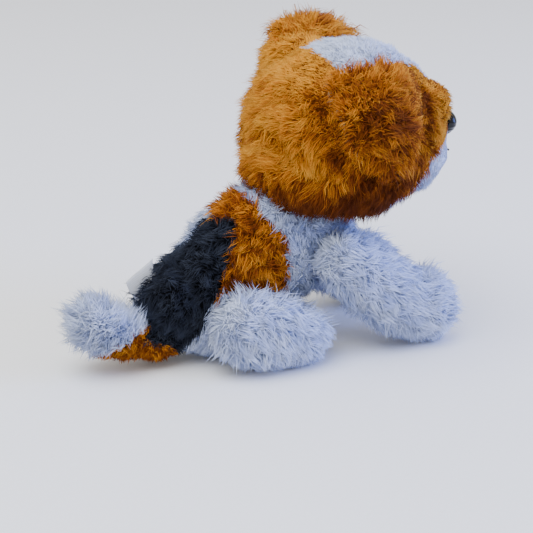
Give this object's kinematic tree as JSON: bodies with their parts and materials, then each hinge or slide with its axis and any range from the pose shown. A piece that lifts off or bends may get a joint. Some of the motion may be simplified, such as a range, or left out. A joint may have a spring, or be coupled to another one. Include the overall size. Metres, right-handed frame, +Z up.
{
  "type": "plush toy",
  "caption": "Crouching long-pile plush cat with a tan, white and black coat, floppy ears, plastic nose and eyes, and soft-jointed head, legs and tail.",
  "frame": {"origin": "on the flat patch that the rump sits on, under the centre of the rump", "axes": "+X the way the toy faces, +Y its left side, +Z up"},
  "size_m": [0.2061, 0.1182, 0.1545],
  "materials": {
    "tan_pile": "long-pile acrylic plush, matte, golden tan with darker roots",
    "white_pile": "long-pile acrylic plush, matte, white",
    "black_pile": "long-pile acrylic plush with a faint bluish sheen, black",
    "lining_pile": "short-pile plush, matte, beige",
    "filling": "loose polyester fibre, matte",
    "bag_cloth": "plain woven cloth, matte",
    "ribbon": "satin ribbon, blank",
    "thread": "twisted sewing thread, matte",
    "eye_plastic": "gloss, black-brown",
    "nose_plastic": "gloss, black",
    "washer_plastic": "satin, natural"
  },
  "bodies": {
    "torso": {"saddle_panel": "black_pile", "seat_panel": "white_pile", "withers_panel": "tan_pile", "nape_panel": "white_pile", "shoulder_panel_left": "tan_pile", "shoulder_panel_right": "tan_pile", "chest_panel": "white_pile", "torso_filling": "filling", "pellet_bag": "bag_cloth", "sewn_in_label": "ribbon", "closing_seam": "thread"},
    "neck": {"neck_collar": "white_pile", "neck_filling": "filling"},
    "head": {"head_blaze_panel": "white_pile", "head_back_panel": "tan_pile", "head_chin_gusset": "tan_pile", "head_side_panel_right": "tan_pile", "head_side_panel_left": "tan_pile", "muzzle_panel": "white_pile", "head_filling": "filling", "eye_left": "eye_plastic", "eye_right": "eye_plastic", "eye_washer_left": "washer_plastic", "eye_washer_right": "washer_plastic", "nose": "nose_plastic", "nose_washer": "washer_plastic", "mouth_stitch": "thread"},
    "ear_left": {"ear_left": "tan_pile", "ear_lining_left": "lining_pile"},
    "ear_right": {"ear_right": "tan_pile", "ear_lining_right": "lining_pile"},
    "front_leg_left": {"front_leg_left": "white_pile", "front_leg_filling_left": "filling"},
    "front_leg_right": {"front_leg_right": "white_pile", "front_leg_filling_right": "filling"},
    "hind_leg_left": {"hind_leg_left": "white_pile", "hind_leg_filling_left": "filling"},
    "hind_leg_right": {"hind_leg_right": "white_pile", "hind_leg_filling_right": "filling"},
    "tail": {"tail_root_panel": "black_pile", "tail_shaft_panel": "tan_pile", "tail_tip_panel": "white_pile", "tail_filling": "filling"}
  },
  "joints": [
    {"name": "head_turn", "type": "hinge", "parent": "torso", "child": "neck", "pos_m": [0.05673, 0, 0.07947], "axis": [0.4472, 0, 0.8944], "range_deg": [-35, 35]},
    {"name": "head_nod", "type": "hinge", "parent": "neck", "child": "head", "pos_m": [0.05673, 0, 0.07947], "axis": [0, 1, 0], "range_deg": [-4, 12]},
    {"name": "front_leg_left_swing", "type": "hinge", "parent": "torso", "child": "front_leg_left", "pos_m": [0.06, 0.0206, 0.047], "axis": [0, 1, 0], "range_deg": [-35, 30]},
    {"name": "hind_leg_left_swing", "type": "hinge", "parent": "torso", "child": "hind_leg_left", "pos_m": [0.0095, 0.0206, 0.0205], "axis": [0, 1, 0], "range_deg": [-35, 25]},
    {"name": "front_leg_right_swing", "type": "hinge", "parent": "torso", "child": "front_leg_right", "pos_m": [0.06, -0.0206, 0.047], "axis": [0, 1, 0], "range_deg": [-35, 30]},
    {"name": "hind_leg_right_swing", "type": "hinge", "parent": "torso", "child": "hind_leg_right", "pos_m": [0.0095, -0.0206, 0.0205], "axis": [0, 1, 0], "range_deg": [-35, 25]},
    {"name": "tail_wag", "type": "hinge", "parent": "torso", "child": "tail", "pos_m": [-0.034, 0, 0.019], "axis": [0, 0, 1], "range_deg": [-30, 30]},
    {"name": "ear_left_fold", "type": "hinge", "parent": "head", "child": "ear_left", "pos_m": [0.07, 0.03034, 0.14109], "axis": [1, 0, 0], "range_deg": [-35, 25]},
    {"name": "ear_right_fold", "type": "hinge", "parent": "head", "child": "ear_right", "pos_m": [0.07, -0.03034, 0.14109], "axis": [-1, 0, 0], "range_deg": [0, 60]}
  ]
}
